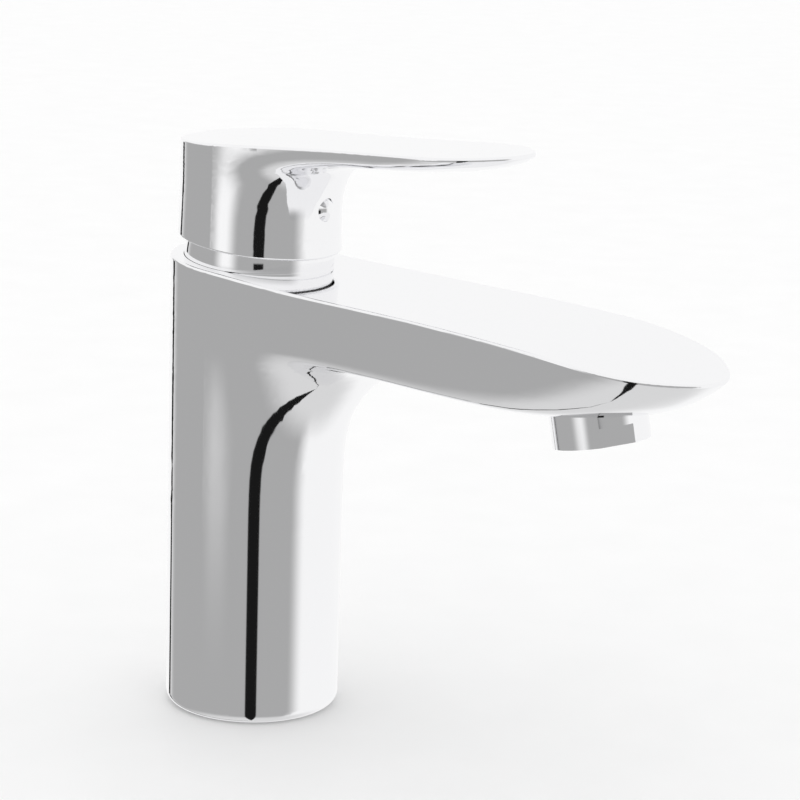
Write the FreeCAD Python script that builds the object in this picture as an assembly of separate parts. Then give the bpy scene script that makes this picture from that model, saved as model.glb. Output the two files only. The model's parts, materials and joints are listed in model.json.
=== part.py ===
import FreeCAD, Part
import math
import os
from FreeCAD import Vector

# Single-lever basin mixer. Millimetres. Z is the column axis, +X points along the spout,
# and the base stands on the plane z = 0.

# Column and base
COLUMN_R = 25.0
BASE_ROUND = 3.2
EDGE_ROUND = 0.7
HOSE_BORE_R = 20.0
CEILING_Z = 72.0
SEAL_INNER_R = 15.0
SEAL_T = 2.4

# Hoses and fixing stud, seen from below
INLET_X = 4.0
INLET_Y = 8.5
INLET_THREAD_R = 4.5
INLET_THREAD_L = 12.0
INLET_PASSAGE_R = 2.8
STUD_X = -10.5
STUD_THREAD_R = 3.4
STUD_THREAD_L = 15.0

# Skin of the body: vertical lines that leave the column and run out to the spout's top edge
SKIN_START_Z = 55.0
SKIN_CAP_Z = 150.0
SKIN_COLUMNS = 44
SKIN_BACK_COLUMNS = 12
SKIN_ROWS = 30
TIP_X = 149.0
SPOUT_PLAN = [(0, COLUMN_R), (20, 26.2), (45, 26.8), (75, 27.2), (102, 27.9), (121, 26.4),
              (134, 21.3), (144, 12.0), (TIP_X, 0)]
TOP_LINE = [(-40, 133.0), (-12, 131.0), (12, 129.1), (30, 128.0), (57, 126.8), (81, 125.6),
            (97, 124.5), (113, 122.9), (130, 120.2), (TIP_X, 117.3), (165, 115.0)]
# Each line starts on the column and ends at the edge. REACH is the share of the way out,
# LEVEL the height: absolute under the spout's centre line, a share of the rise at the side.
FRONT_REACH = [0, 0, 0.002, 0.033, 0.108, 0.235, 0.4, 0.58, 0.74, 0.86, 0.95, 1]
FRONT_LEVEL = [55, 67, 78, 89, 100.2, 108.2, 109.2, 106.6, 104.2, 106.0, 110.8, 116.6]
SIDE_REACH = [0, 0, 0, 0.05, 0.17, 0.36, 0.58, 0.77, 0.9, 0.98, 1, 1]
SIDE_LEVEL = [0, 0.14, 0.28, 0.42, 0.54, 0.64, 0.71, 0.77, 0.82, 0.88, 0.94, 0.985]

# Cartridge seat
CHAMBER_R = 17.5
CHAMBER_FLOOR_Z = 97.0
SEAT_Z = 129.3
SEAT_R = 21.15
SEAT_GAP = 0.15
JOINT_GROOVE = 0.45
BODY_THREAD_R = 18.6
BODY_THREAD_Z = 121.5

# Water way in the spout: distance, half width, floor and roof
DUCT_STATIONS = [(12.0, 6.0, 108.0, 117.0), (45.0, 18.0, 113.0, 122.5), (75.0, 18.0, 112.5, 121.5),
                 (105.0, 18.0, 110.0, 119.5), (128.0, 12.0, 110.5, 116.5)]

# Aerator, on an axis that leans forward as it goes down
AERATOR_X = 114.6
AERATOR_Z = 96.1
AERATOR_TILT = 11.7
AERATOR_R = 13.0
AERATOR_H = 11.0
AERATOR_RECESS_R = 13.4
AERATOR_SPIGOT_R = 11.55
AERATOR_SPIGOT_H = 6.0
AERATOR_THREAD_R = 11.6
AERATOR_BORE_R = 10.2
FLAT_OFFSET = 12.1
FLAT_H = 5.0
FLAT_TURN = -38.0
LIP_H = 1.2
LIP_W = 1.0
SCREEN_TOP = 3.2
INSERT_TOP = 12.0
REGULATOR_T = 1.6
WASHER_T = 1.6

# Lever pivot and the dome-shaped cover round it
PIVOT_Z = 130.8
DOME_R = 21.2
DOME_WALL = 1.5
DOME_TOP_Z = 141.0
PIN_R = 1.5
PIN_CLEARANCE = 0.05

# Cartridge
DISC_TOP_Z = 110.0
FIXED_DISC_TOP_Z = 106.0
FIXED_DISC_BOTTOM_Z = 102.0
FIXED_DISC_R = 14.5
MOVING_DISC_R = 11.0
COUPLER_R = 12.0
COUPLER_TOP_Z = 117.0
BALL_Z = 114.8
BALL_R = 3.0
BALL_CLEARANCE = 0.05
DISC_OFFSET = -2.1
HOUSING_R = 17.4
HOUSING_BORE_R = 15.6
HOUSING_TOP_Z = 121.5
NECK_R = 12.2
NECK_BORE_R = 9.6
NECK_TOP_Z = 134.0
NECK_SHOULDER_Z = 119.4
CARRIER_R = 9.55
CARRIER_FLANGE_R = 12.0
CARRIER_BOTTOM_Z = 117.6
CARRIER_TOP_Z = 133.8
CARRIER_SLOT = 8.2
PORT_R = 2.8
INLET_SEAL_R = 4.6
INLET_SEAL_T = 1.6
MIX_WINDOW_R = 4.2
MIX_WINDOW_X = -6.6
OUTLET_WINDOW_R = 3.6
OUTLET_WINDOW_X = -7.5
COUPLER_FLOOR = 1.6
FLANGE_T = 1.2
LIMIT_RING_T = 1.6

# Nut that holds the cartridge down
NUT_BORE_R = 12.4
NUT_EDGE_Z = 129.7
NUT_TOP_R = 17.4
NUT_TOP_Z = 132.5
NOTCH_W = 3.0
NOTCH_H = 2.4
NOTCH_START_R = 14.2

# Lever stem
STEM_SQUARE = 8.0
STEM_TOP_Z = 156.0
STEM_BOTTOM_Z = 126.3
STEM_ARM_R = 2.2

# Handle
HANDLE_RIM_R = 23.1
HANDLE_TOP_R = 22.5
HANDLE_BORE_R = 21.8
HANDLE_CEILING_Z = 157.5
HANDLE_START_Z = 128.0
HANDLE_CONE_TOP_Z = 152.0
RIM_Z = 135.6
RIM_SLOPE = 0.112
RIM_ROUND = 0.5
LEVER_TOP_Z = 164.8
LEVER_SLOPE = 0.045
LEVER_TIP_X = 87.8
LEVER_PLAN = [(0, HANDLE_TOP_R), (10, 21.4), (22, 19.8), (38, 18.9), (54, 19.4), (66, 19.8),
              (76, 17.4), (83.5, 11.0), (LEVER_TIP_X, 0)]
LEVER_FRONT_REACH = [0, 0, 0, 0.015, 0.075, 0.2, 0.4, 0.58, 0.76, 0.9, 0.97, 1]
LEVER_FRONT_LEVEL = [128, 137, 145, 151.5, 158.2, 161.0, 161.6, 162.1, 162.9, 164.6, 166.0, 167.6]
LEVER_SIDE_REACH = [0, 0, 0, 0.05, 0.17, 0.36, 0.58, 0.77, 0.9, 0.98, 1, 1]
LEVER_SIDE_LEVEL = [0, 0.2, 0.4, 0.55, 0.68, 0.76, 0.82, 0.87, 0.91, 0.945, 0.97, 0.985]
HUB_R = 8.6
HUB_BOTTOM_Z = 143.5
SCREW_Z = 146.6
SCREW_R = 2.5
SCREW_L = 5.0
HEX_R = 1.3
HEX_L = 2.5
SOCKET_GAP = 0.5
BUTTON_R = 3.3
BUTTON_STEM_R = 2.6
BUTTON_PROUD = 1.9
BUTTON_SEAT = -0.1
BUTTON_RIM = 0.4
BUTTON_STEM_L = 3.3

EPS = 0.05


def disc(radius, z0, z1, x=0.0, y=0.0):
    """Upright cylinder between two heights."""
    return Part.makeCylinder(radius, z1 - z0, Vector(x, y, z0))


def tube(outer, inner, z0, z1, x=0.0, y=0.0):
    """Upright ring between two heights."""
    return disc(outer, z0, z1, x, y).cut(disc(inner, z0 - 1, z1 + 1, x, y))


def box(x0, x1, y0, y1, z0, z1):
    """Axis-aligned box between two corners."""
    return Part.makeBox(x1 - x0, y1 - y0, z1 - z0, Vector(x0, y0, z0))


def revolve(profile):
    """Solid of revolution about Z from (radius, height) corners."""
    points = [Vector(r, 0, z) for r, z in profile]
    face = Part.Face(Part.makePolygon(points + [points[0]]))
    return face.revolve(Vector(0, 0, 0), Vector(0, 0, 1), 360)


def save(name, shape):
    """Write one node's STEP file."""
    shape.removeSplitter().exportStep("parts/" + name + ".step")


def curve_through(points, start=None, end=None):
    """Smooth curve through the points, with end tangents where given."""
    curve = Part.BSplineCurve()
    if start is None:
        curve.interpolate(points)
    else:
        curve.interpolate(Points=points, InitialTangent=start, FinalTangent=end)
    return curve


def height_at(curve, x):
    """Height of a profile curve that always runs forward in x."""
    low, high = curve.FirstParameter, curve.LastParameter
    for _ in range(50):
        middle = 0.5 * (low + high)
        if curve.value(middle).x < x:
            low = middle
        else:
            high = middle
    return curve.value(low).z


def pole_curve(poles):
    """Clamped cubic curve pulled by its control points."""
    curve = Part.BSplineCurve()
    spans = len(poles) - 3
    mults = [4] + [1] * (spans - 1) + [4]
    curve.buildFromPolesMultsKnots(poles, mults, list(range(spans + 1)), False, 3)
    return curve


def mix(a, b, share):
    """Blend two numbers."""
    return a + (b - a) * share


class Skin:
    """Closed skin that grows from a round stem into a flat-topped plan outline."""

    def __init__(self, stem_r, plan, top, tip_x, start_z, cap_z, front, side, flare=None, seam=0):
        self.stem_r = stem_r
        self.plan = curve_through([Vector(x, y, 0) for x, y in plan],
                                  Vector(tip_x * 0.4, 0, 0), Vector(0, -tip_x * 0.27, 0))
        self.edge = self.plan.toShape()
        self.top = top
        self.reach = tip_x - stem_r
        self.start_z = start_z
        self.cap_z = cap_z
        self.front = front
        self.side = side
        self.flare = flare or (lambda z: 1.0)
        self.seam = seam

    def line(self, stem, out):
        """One line of skin points, from the stem up to the cap."""
        way = out - stem
        share = min(1.0, way.Length / self.reach) ** 0.6
        edge_z = self.top(out.x)
        rise = edge_z - self.start_z
        poles = []
        for f_reach, f_z, s_reach, s_z in zip(*self.front, *self.side):
            reach = mix(s_reach, f_reach, share)
            z = mix(self.start_z + rise * s_z, f_z, share)
            poles.append(stem * self.flare(z) + way * reach + Vector(0, 0, z))
        curve = pole_curve(poles)
        last = curve.LastParameter
        points = [curve.value(last * i / SKIN_ROWS) for i in range(SKIN_ROWS + 1)]
        points.append(Vector(out.x, out.y, mix(edge_z, self.cap_z, 0.3)))
        points.append(Vector(out.x, out.y, self.cap_z))
        return points

    def half(self):
        """Lines from the tip round one side to the back."""
        lines = []
        quarter = math.pi / 2
        extra = (self.edge.Length - self.stem_r * quarter) / quarter ** 2
        for i in range(SKIN_COLUMNS, -1, -1):
            turn = quarter * i / SKIN_COLUMNS
            run = min(self.edge.Length, self.stem_r * turn + extra * turn ** 2)
            out = self.plan.value(self.edge.getParameterByLength(run))
            stem = Vector(self.stem_r * math.sin(turn), self.stem_r * math.cos(turn), 0)
            lines.append(self.line(stem, out))
        for i in range(1, SKIN_BACK_COLUMNS + 1):
            turn = quarter * i / SKIN_BACK_COLUMNS
            stem = Vector(-self.stem_r * math.sin(turn), self.stem_r * math.cos(turn), 0)
            lines.append(self.line(stem, stem))
        return lines

    def solid(self):
        """Lofted solid through one closed ring per row of the skin."""
        half = self.half()
        mirrored = [[Vector(p.x, -p.y, p.z) for p in line] for line in half[1:-1]]
        lines = half + mirrored[::-1]
        lines = lines[self.seam:] + lines[:self.seam]
        rings = []
        for row in range(len(half[0])):
            ring = Part.BSplineCurve()
            ring.interpolate(Points=[line[row] for line in lines], PeriodicFlag=True,
                             Parameters=[float(i) for i in range(len(lines) + 1)])
            rings.append(Part.Wire([ring.toShape()]))
        return Part.makeLoft(rings, True, False, False, 5)


def above(curve, x0, x1, ceiling):
    """Everything above a profile curve, as a cutting tool."""
    start, end = curve.value(curve.FirstParameter), curve.value(curve.LastParameter)
    corners = [end, Vector(x1, 0, ceiling), Vector(x0, 0, ceiling), start]
    edges = [curve.toShape()]
    edges += [Part.makeLine(a, b) for a, b in zip(corners, corners[1:])]
    face = Part.Face(Part.Wire(edges))
    face.translate(Vector(0, -TIP_X, 0))
    return face.extrude(Vector(0, 2 * TIP_X, 0))


def aerator_frame(shape):
    """Move a shape built round the Z axis, outlet face at z = 0, to the aerator's place."""
    shape = shape.copy()
    shape.rotate(Vector(0, 0, 0), Vector(0, 1, 0), -AERATOR_TILT)
    shape.translate(Vector(AERATOR_X, 0, AERATOR_Z))
    return shape


def spout_duct():
    """Water way from the cartridge chamber to the aerator."""
    wires = []
    for x, half_w, z0, z1 in DUCT_STATIONS:
        corners = [Vector(x, -half_w, z0), Vector(x, half_w, z0),
                   Vector(x, half_w, z1), Vector(x, -half_w, z1)]
        wires.append(Part.makePolygon(corners + [corners[0]]))
    return Part.makeLoft(wires, True, True)


def top_outline(shape, top):
    """Edges of a skin where its side meets its top."""
    found = []
    for edge in shape.Edges:
        points = edge.discretize(8)
        if edge.Length > EPS and all(abs(p.z - top(p.x)) < EPS for p in points):
            found.append(edge)
    return found


def body_skin():
    """Outside of the body: column, spout and slanted top with a softened edge."""
    top = curve_through([Vector(x, 0, z) for x, z in TOP_LINE])
    skin = Skin(COLUMN_R, SPOUT_PLAN, lambda x: height_at(top, x), TIP_X, SKIN_START_Z,
                SKIN_CAP_Z, (FRONT_REACH, FRONT_LEVEL), (SIDE_REACH, SIDE_LEVEL),
                seam=SKIN_COLUMNS)
    solid = skin.solid().cut(above(top, TOP_LINE[0][0], TOP_LINE[-1][0], SKIN_CAP_Z + 50))
    column = disc(COLUMN_R, 0, SKIN_START_Z)
    foot = [e for e in column.Edges if e.BoundBox.ZMax < EPS]
    column = column.makeFillet(BASE_ROUND, foot)
    body = solid.fuse(column)
    return body.makeFillet(EDGE_ROUND, top_outline(body, skin.top))


def body_casting():
    """Hollow brass body: column bore, cartridge chamber and spout duct."""
    body = body_skin()
    body = body.fuse(disc(SEAT_R, SEAT_Z - 20, SEAT_Z))
    tools = [disc(DOME_R + SEAT_GAP, SEAT_Z, SKIN_CAP_Z)]
    tools.append(disc(HOSE_BORE_R, -1, CHAMBER_FLOOR_Z))
    tools.append(disc(CHAMBER_R, CHAMBER_FLOOR_Z - 1, SKIN_CAP_Z))
    tools.append(disc(BODY_THREAD_R, BODY_THREAD_Z, SKIN_CAP_Z))
    tools.append(spout_duct())
    tools.append(aerator_frame(disc(AERATOR_THREAD_R, 0, AERATOR_H + AERATOR_SPIGOT_H + 4)))
    tools.append(aerator_frame(disc(AERATOR_RECESS_R, -2, AERATOR_H)))
    for tool in tools:
        body = body.cut(tool)
    return body


def inlet_block():
    """Brass block pressed into the column: the two inlets and the stud's thread."""
    block = disc(HOSE_BORE_R, CEILING_Z, CHAMBER_FLOOR_Z)
    for side in (-1, 1):
        y = side * INLET_Y
        block = block.cut(disc(INLET_THREAD_R, CEILING_Z - 1, CEILING_Z + INLET_THREAD_L, INLET_X, y))
        block = block.cut(disc(INLET_PASSAGE_R, CEILING_Z, CHAMBER_FLOOR_Z + 1, INLET_X, y))
    return block.cut(disc(STUD_THREAD_R, CEILING_Z - 1, CEILING_Z + STUD_THREAD_L, STUD_X))


def cover_ring():
    """Dome-shaped cover centred on the lever's pivot, with a groove where it meets the body."""
    centre = Vector(0, 0, PIVOT_Z)
    shell = Part.makeSphere(DOME_R, centre).cut(Part.makeSphere(DOME_R - DOME_WALL, centre))
    shell = shell.common(disc(DOME_R + 1, SEAT_Z, DOME_TOP_Z))
    return shell.cut(tube(DOME_R + 1, DOME_R - JOINT_GROOVE, SEAT_Z - 1, SEAT_Z + JOINT_GROOVE))


def cartridge_nut():
    """Threaded nut that holds the cartridge down in the body."""
    profile = [(NUT_BORE_R, BODY_THREAD_Z), (BODY_THREAD_R - EPS, BODY_THREAD_Z),
               (BODY_THREAD_R - EPS, NUT_EDGE_Z), (NUT_TOP_R, NUT_TOP_Z), (NUT_BORE_R, NUT_TOP_Z)]
    nut = revolve(profile)
    for i in range(4):
        notch = box(NOTCH_START_R, BODY_THREAD_R + 1, -NOTCH_W / 2, NOTCH_W / 2,
                    NUT_TOP_Z - NOTCH_H, NUT_TOP_Z + 1)
        notch.rotate(Vector(0, 0, 0), Vector(0, 0, 1), 90 * i + 45)
        nut = nut.cut(notch)
    return nut


def cartridge_housing():
    """Cartridge shell: bore for the discs, neck for the carrier, window to the spout duct."""
    shell = disc(HOUSING_R, FIXED_DISC_BOTTOM_Z, HOUSING_TOP_Z)
    shell = shell.fuse(disc(NECK_R, HOUSING_TOP_Z - 1, NECK_TOP_Z))
    shell = shell.cut(disc(HOUSING_BORE_R, FIXED_DISC_BOTTOM_Z - 1, NECK_SHOULDER_Z))
    shell = shell.cut(disc(NECK_BORE_R, NECK_SHOULDER_Z - 1, NECK_TOP_Z + 1))
    _, half_w, z0, z1 = DUCT_STATIONS[0]
    return shell.cut(box(HOUSING_BORE_R - 4, HOUSING_R + 1, -half_w, half_w, z0, z1))


def cartridge_base():
    """Bottom plate of the cartridge with the two inlet ports and their seal pockets."""
    plate = disc(HOUSING_R, CHAMBER_FLOOR_Z, FIXED_DISC_BOTTOM_Z)
    for side in (-1, 1):
        y = side * INLET_Y
        pocket_top = CHAMBER_FLOOR_Z + INLET_SEAL_T
        plate = plate.cut(disc(PORT_R, CHAMBER_FLOOR_Z - 1, FIXED_DISC_BOTTOM_Z + 1, INLET_X, y))
        plate = plate.cut(disc(INLET_SEAL_R, CHAMBER_FLOOR_Z - 1, pocket_top, INLET_X, y))
    return plate


def ported_disc(radius, z0, z1):
    """Fixed ceramic disc with one port per inlet."""
    plate = disc(radius, z0, z1)
    for side in (-1, 1):
        plate = plate.cut(disc(PORT_R, z0 - 1, z1 + 1, INLET_X, side * INLET_Y))
    return plate


def moving_disc():
    """Sliding ceramic disc with the mixing window."""
    plate = disc(MOVING_DISC_R, FIXED_DISC_TOP_Z, DISC_TOP_Z, DISC_OFFSET)
    return plate.cut(disc(MIX_WINDOW_R, FIXED_DISC_TOP_Z - 1, DISC_TOP_Z + 1, MIX_WINDOW_X))


def disc_coupler():
    """Plastic driver on the moving disc, with the slot that takes the stem's ball."""
    block = disc(COUPLER_R, DISC_TOP_Z, COUPLER_TOP_Z, DISC_OFFSET)
    slot = disc(BALL_R + BALL_CLEARANCE, DISC_TOP_Z + COUPLER_FLOOR, COUPLER_TOP_Z + 1)
    block = block.cut(slot)
    return block.cut(disc(OUTLET_WINDOW_R, DISC_TOP_Z - 1, COUPLER_TOP_Z + 1, OUTLET_WINDOW_X))


def carrier():
    """Turning core of the cartridge: holds the pivot pin in its two cheeks."""
    core = disc(CARRIER_R, CARRIER_BOTTOM_Z, CARRIER_TOP_Z)
    core = core.fuse(disc(CARRIER_FLANGE_R, CARRIER_BOTTOM_Z, CARRIER_BOTTOM_Z + FLANGE_T))
    slot = box(-20, 20, -CARRIER_SLOT / 2, CARRIER_SLOT / 2, CARRIER_BOTTOM_Z + FLANGE_T, CARRIER_TOP_Z + 1)
    core = core.cut(slot)
    core = core.cut(box(-4.2, 9.2, -3.2, 3.2, CARRIER_BOTTOM_Z - 1, CARRIER_BOTTOM_Z + 2))
    return core.cut(pivot_pin())


def pivot_pin():
    """Steel pin across the carrier; the lever stem swings on it."""
    length = 2 * math.sqrt(CARRIER_R ** 2 - PIN_R ** 2) - 0.6
    return Part.makeCylinder(PIN_R, length, Vector(0, -length / 2, PIVOT_Z), Vector(0, 1, 0))


def lever_stem():
    """Square spindle, pivot eye and the arm whose ball drives the disc."""
    half = STEM_SQUARE / 2
    stem = box(-half, half, -half, half, STEM_BOTTOM_Z, STEM_TOP_Z)
    stem = stem.fuse(disc(STEM_ARM_R, BALL_Z, STEM_BOTTOM_Z + 1))
    stem = stem.fuse(Part.makeSphere(BALL_R, Vector(0, 0, BALL_Z)))
    eye = Part.makeCylinder(PIN_R + PIN_CLEARANCE, 20, Vector(0, -10, PIVOT_Z), Vector(0, 1, 0))
    return stem.cut(eye)


def lever_top(x):
    """Height of the handle's flat top."""
    return LEVER_TOP_Z + LEVER_SLOPE * x


def skirt_growth(z):
    """Radius of the handle's slightly conical skirt, as a share of its top radius."""
    depth = max(0.0, HANDLE_CONE_TOP_Z - z) / (HANDLE_CONE_TOP_Z - RIM_Z)
    return 1 + depth * (HANDLE_RIM_R / HANDLE_TOP_R - 1)


def handle_skin():
    """Outside of the handle: round skirt and blade, before it is hollowed."""
    top = curve_through([Vector(x, 0, lever_top(x)) for x in (-40, 20, 60, 110)])
    skin = Skin(HANDLE_TOP_R, LEVER_PLAN, lever_top, LEVER_TIP_X, HANDLE_START_Z, 180.0,
                (LEVER_FRONT_REACH, LEVER_FRONT_LEVEL), (LEVER_SIDE_REACH, LEVER_SIDE_LEVEL),
                skirt_growth)
    solid = skin.solid().cut(above(top, -40, 110, 220.0))
    return solid.makeFillet(EDGE_ROUND, top_outline(solid, lever_top))


def rim_gap(point):
    """Height of a point above the plane of the handle's slanted bottom rim."""
    return point.z - RIM_Z + RIM_SLOPE * point.x


def below_rim():
    """Everything under the handle's slanted bottom rim, as a cutting tool."""
    reach = 40.0
    corners = [Vector(-reach, -reach, RIM_Z + RIM_SLOPE * reach),
               Vector(reach, -reach, RIM_Z - RIM_SLOPE * reach),
               Vector(reach, -reach, 100), Vector(-reach, -reach, 100)]
    face = Part.Face(Part.makePolygon(corners + [corners[0]]))
    return face.extrude(Vector(0, 2 * reach, 0))


def handle():
    """Cast lever handle: hollow skirt, square socket and screw hole."""
    body = handle_skin().cut(below_rim())
    rim = [e for e in body.Edges if max(abs(rim_gap(p)) for p in e.discretize(8)) < EPS]
    body = body.makeFillet(RIM_ROUND, rim)
    cavity = disc(HANDLE_BORE_R, 125, HANDLE_CEILING_Z).cut(disc(HUB_R, HUB_BOTTOM_Z, HANDLE_CEILING_Z))
    body = body.cut(cavity)
    half = STEM_SQUARE / 2
    body = body.cut(box(-half, half, -half, half, HUB_BOTTOM_Z - 1, STEM_TOP_Z + SOCKET_GAP))
    seat = Part.makeCylinder(BUTTON_R, 5, Vector(HANDLE_TOP_R + BUTTON_SEAT, 0, SCREW_Z), Vector(1, 0, 0))
    thread = Part.makeCylinder(SCREW_R, HUB_R, Vector(0, 0, SCREW_Z), Vector(1, 0, 0))
    entry = Part.makeCylinder(BUTTON_STEM_R, 30, Vector(HUB_R, 0, SCREW_Z), Vector(1, 0, 0))
    return body.cut(thread).cut(entry).cut(seat)


def grub_screw():
    """Socket screw that clamps the handle on the square spindle."""
    start = STEM_SQUARE / 2
    screw = Part.makeCylinder(SCREW_R, SCREW_L, Vector(start, 0, SCREW_Z), Vector(1, 0, 0))
    socket = Part.makeCylinder(HEX_R, HEX_L, Vector(start + SCREW_L - HEX_L, 0, SCREW_Z), Vector(1, 0, 0))
    return screw.cut(socket)


def index_button():
    """Plain domed plug over the screw hole."""
    face_x = HANDLE_TOP_R + BUTTON_SEAT
    cap_r = (BUTTON_R ** 2 + BUTTON_PROUD ** 2) / (2 * BUTTON_PROUD)
    dome = Part.makeSphere(cap_r, Vector(face_x + BUTTON_PROUD - cap_r, 0, SCREW_Z))
    dome.translate(Vector(BUTTON_RIM, 0, 0))
    dome = dome.common(Part.makeCylinder(BUTTON_R, 10, Vector(face_x, 0, SCREW_Z), Vector(1, 0, 0)))
    start = Vector(face_x - BUTTON_STEM_L, 0, SCREW_Z)
    stem = Part.makeCylinder(BUTTON_STEM_R, BUTTON_STEM_L + 0.1, start, Vector(1, 0, 0))
    return dome.fuse(stem)


def aerator_housing():
    """Chromed aerator shell with wrench flats on its lower half."""
    top = AERATOR_H + AERATOR_SPIGOT_H
    shell = disc(AERATOR_R, 0, AERATOR_H).fuse(disc(AERATOR_SPIGOT_R, AERATOR_H - 1, top))
    shell = shell.cut(disc(AERATOR_BORE_R, LIP_H, top + 1))
    shell = shell.cut(disc(AERATOR_BORE_R - LIP_W, -1, LIP_H + 1))
    for turn in (FLAT_TURN, FLAT_TURN + 180):
        flat = box(FLAT_OFFSET, AERATOR_R + 1, -AERATOR_R, AERATOR_R, -1, FLAT_H)
        flat.rotate(Vector(0, 0, 0), Vector(0, 0, 1), turn)
        shell = shell.cut(flat)
    return aerator_frame(shell)


def aerator_insert():
    """Plastic core that breaks the stream into the screen."""
    core = disc(AERATOR_BORE_R, SCREEN_TOP, INSERT_TOP).cut(disc(AERATOR_BORE_R - 1.4, 2, INSERT_TOP - 1.4))
    for i in range(8):
        angle = math.radians(45 * i)
        core = core.cut(disc(1.0, 9, 13, 6 * math.cos(angle), 6 * math.sin(angle)))
    return aerator_frame(core)


def aerator_screen():
    """Perforated outlet screen."""
    screen = disc(AERATOR_BORE_R, LIP_H, SCREEN_TOP)
    for ring_r, count in ((3.0, 6), (6.2, 12)):
        for i in range(count):
            angle = 2 * math.pi * i / count
            screen = screen.cut(disc(0.9, 0, 4, ring_r * math.cos(angle), ring_r * math.sin(angle)))
    return aerator_frame(screen)


def main():
    """Build and save every node."""
    os.makedirs("parts", exist_ok=True)
    save("body_casting", body_casting())
    save("inlet_block", inlet_block())
    save("base_seal", tube(HOSE_BORE_R, SEAL_INNER_R, 0, SEAL_T))
    save("cover_ring", cover_ring())
    save("cartridge_nut", cartridge_nut())
    save("cartridge_housing", cartridge_housing())
    save("cartridge_base", cartridge_base())
    for name, side in (("inlet_seal_hot", -1), ("inlet_seal_cold", 1)):
        seal_top = CHAMBER_FLOOR_Z + INLET_SEAL_T
        save(name, tube(INLET_SEAL_R, PORT_R, CHAMBER_FLOOR_Z, seal_top, INLET_X, side * INLET_Y))
    save("fixed_ceramic_disc", ported_disc(FIXED_DISC_R, FIXED_DISC_BOTTOM_Z, FIXED_DISC_TOP_Z))
    save("moving_ceramic_disc", moving_disc())
    save("disc_coupler", disc_coupler())
    save("carrier", carrier())
    washer_z = CARRIER_BOTTOM_Z + FLANGE_T + EPS
    save("thrust_washer", tube(CARRIER_FLANGE_R + 2, CARRIER_R + 0.1, washer_z, NECK_SHOULDER_Z))
    ring_top = NECK_TOP_Z + LIMIT_RING_T
    save("temperature_limit_ring", tube(NECK_R, NECK_BORE_R + 0.4, NECK_TOP_Z, ring_top))
    save("pivot_pin", pivot_pin())
    save("lever_stem", lever_stem())
    save("lever_handle", handle())
    save("grub_screw", grub_screw())
    save("index_button", index_button())
    save("aerator_housing", aerator_housing())
    save("aerator_insert", aerator_insert())
    save("aerator_screen", aerator_screen())
    regulator = tube(AERATOR_BORE_R, 2.0, INSERT_TOP, INSERT_TOP + REGULATOR_T)
    save("flow_regulator", aerator_frame(regulator))
    housing_top = AERATOR_H + AERATOR_SPIGOT_H
    washer = tube(AERATOR_SPIGOT_R, AERATOR_BORE_R - 1.5, housing_top, housing_top + WASHER_T)
    save("aerator_washer", aerator_frame(washer))


main()
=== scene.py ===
import json
import math

import bpy
from mathutils import Matrix, Vector


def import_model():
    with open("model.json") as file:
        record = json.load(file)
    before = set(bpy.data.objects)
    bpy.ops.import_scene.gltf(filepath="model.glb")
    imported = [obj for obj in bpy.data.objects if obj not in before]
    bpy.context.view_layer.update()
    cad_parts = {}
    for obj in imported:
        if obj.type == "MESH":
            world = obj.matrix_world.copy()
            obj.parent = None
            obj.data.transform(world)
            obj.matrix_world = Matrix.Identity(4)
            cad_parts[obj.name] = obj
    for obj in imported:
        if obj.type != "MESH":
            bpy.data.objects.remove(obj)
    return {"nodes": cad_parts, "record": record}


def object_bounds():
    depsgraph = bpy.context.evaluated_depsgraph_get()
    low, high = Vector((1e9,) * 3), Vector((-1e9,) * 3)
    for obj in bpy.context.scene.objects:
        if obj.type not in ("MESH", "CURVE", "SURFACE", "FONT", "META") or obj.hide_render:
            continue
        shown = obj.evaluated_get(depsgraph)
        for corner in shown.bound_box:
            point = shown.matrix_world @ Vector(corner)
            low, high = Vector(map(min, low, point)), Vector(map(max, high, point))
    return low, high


# Camera: stands off the -Y side of the spout, looking slightly down
CAMERA_AZIMUTH = -52.0
CAMERA_REACH = 0.7654
CAMERA_HEIGHT = 0.2684
CAMERA_TURN = -55.055
CAMERA_PITCH = 13.114
CAMERA_ROLL = 1.701
CAMERA_LENS = 123.8

# Studio that the chrome reflects: angles in degrees to the camera's right, heights as the sine of elevation
ROOM_LIGHT = 0.98
WALL_LIGHT = 0.42
WALL_ANGLES = (-140.0, 58.0)
WALL_SOFT = 24.0
WALL_TOP = (0.10, 0.32)
SOFT_BOX_LIGHT = 1.0
SOFT_BOX_ANGLES = (-66.0, -40.0)
SOFT_BOX_SOFT = 20.0
SOFT_BOX_FOOT = (-0.33, -0.12)
TABLE_LIGHT = 0.72
TABLE_FADE = (-0.60, -0.95)
FLAG_LIGHT = 0.01
FLAGS = ((-149.0, -142.0), (-9.0, 6.0))
FLAG_SOFT = 1.5
FLAG_TOP = (0.0, -0.06)

# What the camera sees behind the part, and the floor under it
PLAIN_LIGHT = 1.05
FLOOR_HALF = 4.0
FLOOR_FINISH = ((0.95, 0.95, 0.95), 0.0, 0.6, 0.05, 40, 0.0)

# Tint between the darkest and palest grain, and the depth of the bump in metres
TINT_DARK = 0.97
TINT_PALE = 1.02
BUMP_DEPTH = 0.0001

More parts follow.
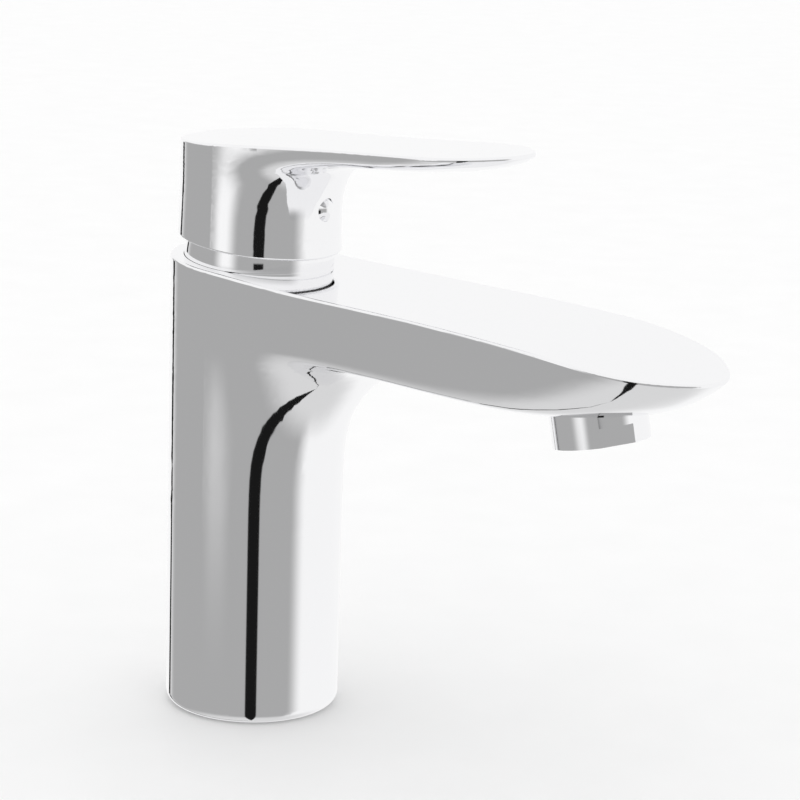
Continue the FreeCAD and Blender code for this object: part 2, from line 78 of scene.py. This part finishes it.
# Finish of each material slot: colour, metallic, roughness, its spread, grain per metre, bump
FINISHES = {
    "body_chrome": ((0.93, 0.93, 0.94), 1.0, 0.05, 0.015, 6000, 0.004),
    "handle_chrome": ((0.93, 0.93, 0.94), 1.0, 0.05, 0.015, 6000, 0.004),
    "trim_chrome": ((0.93, 0.93, 0.94), 1.0, 0.06, 0.02, 6000, 0.004),
    "brass": ((0.80, 0.62, 0.30), 1.0, 0.30, 0.08, 500, 0.15),
    "steel": ((0.62, 0.63, 0.64), 1.0, 0.28, 0.06, 700, 0.10),
    "cartridge_plastic": ((0.82, 0.82, 0.79), 0.0, 0.45, 0.06, 600, 0.10),
    "carrier_plastic": ((0.22, 0.24, 0.27), 0.0, 0.48, 0.06, 600, 0.10),
    "limit_ring_plastic": ((0.60, 0.62, 0.66), 0.0, 0.42, 0.06, 600, 0.10),
    "ceramic": ((0.90, 0.89, 0.86), 0.0, 0.14, 0.04, 800, 0.03),
    "rubber": ((0.07, 0.07, 0.07), 0.0, 0.75, 0.08, 900, 0.20)}


def node(tree, kind, **inputs):
    """Adds a node and sets its named inputs."""
    made = tree.nodes.new(kind)
    for name, value in inputs.items():
        made.inputs[name].default_value = value
    return made


def math_node(tree, operation, a, b=None):
    """Math node of one or two inputs, which are sockets or numbers."""
    made = tree.nodes.new("ShaderNodeMath")
    made.operation = operation
    for slot, value in enumerate((a, b)):
        if isinstance(value, bpy.types.NodeSocket):
            tree.links.new(value, made.inputs[slot])
        elif value is not None:
            made.inputs[slot].default_value = value
    return made.outputs[0]


def smooth_step(tree, value, low, high):
    """0 below low, 1 above high and smooth between."""
    made = tree.nodes.new("ShaderNodeMapRange")
    made.interpolation_type = "SMOOTHSTEP"
    made.inputs["From Min"].default_value = low
    made.inputs["From Max"].default_value = high
    tree.links.new(value, made.inputs["Value"])
    return made.outputs["Result"]


def window(tree, value, low, high, soft):
    """1 between low and high, with soft edges."""
    inside = smooth_step(tree, value, low - soft / 2, low + soft / 2)
    return math_node(tree, "MULTIPLY", inside, smooth_step(tree, value, high + soft / 2, high - soft / 2))


def blend(tree, share, a, b):
    """Mix of two colours, which are sockets or grey levels."""
    made = tree.nodes.new("ShaderNodeMix")
    made.data_type = "RGBA"
    tree.links.new(share, made.inputs["Factor"])
    for name, value in (("A", a), ("B", b)):
        if isinstance(value, bpy.types.NodeSocket):
            tree.links.new(value, made.inputs[name])
        else:
            made.inputs[name].default_value = (value, value, value, 1)
    return made.outputs["Result"]


def studio():
    """White surroundings; the chrome reflects a pale room, grey wall, soft box, table and black flags."""
    world = bpy.data.worlds.new("studio")
    bpy.context.scene.world = world
    world.use_nodes = True
    tree = world.node_tree
    tree.nodes.clear()
    coords = tree.nodes.new("ShaderNodeTexCoord")
    turned = tree.nodes.new("ShaderNodeVectorRotate")
    turned.rotation_type = "Z_AXIS"
    turned.inputs["Angle"].default_value = math.radians(-CAMERA_AZIMUTH)
    tree.links.new(coords.outputs["Generated"], turned.inputs["Vector"])
    split = tree.nodes.new("ShaderNodeSeparateXYZ")
    tree.links.new(turned.outputs["Vector"], split.inputs["Vector"])
    ahead, aside, height = split.outputs["X"], split.outputs["Y"], split.outputs["Z"]
    angle = math_node(tree, "ARCTAN2", aside, ahead)
    angle = math_node(tree, "DEGREES", angle)
    level = blend(tree, window(tree, angle, *WALL_ANGLES, WALL_SOFT), ROOM_LIGHT, WALL_LIGHT)
    box = math_node(tree, "MULTIPLY", window(tree, angle, *SOFT_BOX_ANGLES, SOFT_BOX_SOFT),
                    smooth_step(tree, height, *SOFT_BOX_FOOT))
    level = blend(tree, box, level, SOFT_BOX_LIGHT)
    level = blend(tree, smooth_step(tree, height, *TABLE_FADE), level, TABLE_LIGHT)
    for flag in FLAGS:
        flagged = math_node(tree, "MULTIPLY", window(tree, angle, *flag, FLAG_SOFT),
                            smooth_step(tree, height, *FLAG_TOP))
        level = blend(tree, flagged, level, FLAG_LIGHT)
    level = blend(tree, smooth_step(tree, height, *WALL_TOP), level, ROOM_LIGHT)
    glow = tree.nodes.new("ShaderNodeBackground")
    tree.links.new(level, glow.inputs["Color"])
    plain = node(tree, "ShaderNodeBackground", Color=(1, 1, 1, 1), Strength=PLAIN_LIGHT)
    path = tree.nodes.new("ShaderNodeLightPath")
    either = tree.nodes.new("ShaderNodeMixShader")
    tree.links.new(path.outputs["Is Glossy Ray"], either.inputs["Fac"])
    tree.links.new(plain.outputs["Background"], either.inputs[1])
    tree.links.new(glow.outputs["Background"], either.inputs[2])
    out = tree.nodes.new("ShaderNodeOutputWorld")
    tree.links.new(either.outputs["Shader"], out.inputs["Surface"])


def camera():
    """Camera beside the spout, looking slightly down."""
    azimuth, turn = math.radians(CAMERA_AZIMUTH), math.radians(CAMERA_TURN)
    pitch, roll = math.radians(CAMERA_PITCH), math.radians(CAMERA_ROLL)
    place = Vector((CAMERA_REACH * math.cos(azimuth), CAMERA_REACH * math.sin(azimuth), CAMERA_HEIGHT))
    level = Vector((-math.cos(turn), -math.sin(turn), 0))
    side = Vector((-math.sin(turn), math.cos(turn), 0))
    upright = Vector((0, 0, 1))
    ahead = level * math.cos(pitch) - upright * math.sin(pitch)
    up = upright * math.cos(pitch) + level * math.sin(pitch)
    right = side * math.cos(roll) + up * math.sin(roll)
    up = up * math.cos(roll) - side * math.sin(roll)
    made = bpy.data.objects.new("camera", bpy.data.cameras.new("camera"))
    made.data.lens = CAMERA_LENS
    made.matrix_world = Matrix.Translation(place) @ Matrix((right, up, -ahead)).transposed().to_4x4()
    bpy.context.scene.collection.objects.link(made)
    bpy.context.scene.camera = made


def principled(name, colour, metallic, roughness, spread, grain, bump):
    """Procedural material: its roughness varies by spread and its surface is pitted by bump."""
    made = bpy.data.materials.new(name)
    made.use_nodes = True
    tree = made.node_tree
    shader = tree.nodes["Principled BSDF"]
    shader.inputs["Metallic"].default_value = metallic
    coords = tree.nodes.new("ShaderNodeTexCoord")
    noise = node(tree, "ShaderNodeTexNoise", Scale=grain, Detail=3.0)
    tree.links.new(coords.outputs["Object"], noise.inputs["Vector"])
    rough = node(tree, "ShaderNodeMapRange")
    rough.inputs["To Min"].default_value = max(0.0, roughness - spread)
    rough.inputs["To Max"].default_value = roughness + spread
    tree.links.new(noise.outputs["Fac"], rough.inputs["Value"])
    tree.links.new(rough.outputs["Result"], shader.inputs["Roughness"])
    tint = tree.nodes.new("ShaderNodeMix")
    tint.data_type = "RGBA"
    tint.inputs["A"].default_value = (*[c * TINT_DARK for c in colour], 1)
    tint.inputs["B"].default_value = (*[min(1.0, c * TINT_PALE) for c in colour], 1)
    tree.links.new(noise.outputs["Fac"], tint.inputs["Factor"])
    tree.links.new(tint.outputs["Result"], shader.inputs["Base Color"])
    relief = node(tree, "ShaderNodeBump", Strength=bump, Distance=BUMP_DEPTH)
    tree.links.new(noise.outputs["Fac"], relief.inputs["Height"])
    tree.links.new(relief.outputs["Normal"], shader.inputs["Normal"])
    return made


def floor(level):
    """Plain pale floor under the part, hidden from its reflections."""
    mesh = bpy.data.meshes.new("floor")
    half = FLOOR_HALF
    corners = [(-half, -half, level), (half, -half, level), (half, half, level), (-half, half, level)]
    mesh.from_pydata(corners, [], [(0, 1, 2, 3)])
    made = bpy.data.objects.new("floor", mesh)
    bpy.context.scene.collection.objects.link(made)
    made.data.materials.append(principled("pale_floor", *FLOOR_FINISH))
    made.visible_glossy = False


def main():
    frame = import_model()
    cad_low, cad_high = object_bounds()
    finishes = {slot: principled(slot, *finish) for slot, finish in FINISHES.items()}
    slots = {part["node"]: part["material_slot"] for part in frame["record"]["subparts"]}
    for name, part in frame["nodes"].items():
        part.data.materials.clear()
        part.data.materials.append(finishes[slots[name]])
    studio()
    floor(cad_low.z)
    camera()
    bpy.context.scene.view_settings.view_transform = "Standard"


main()
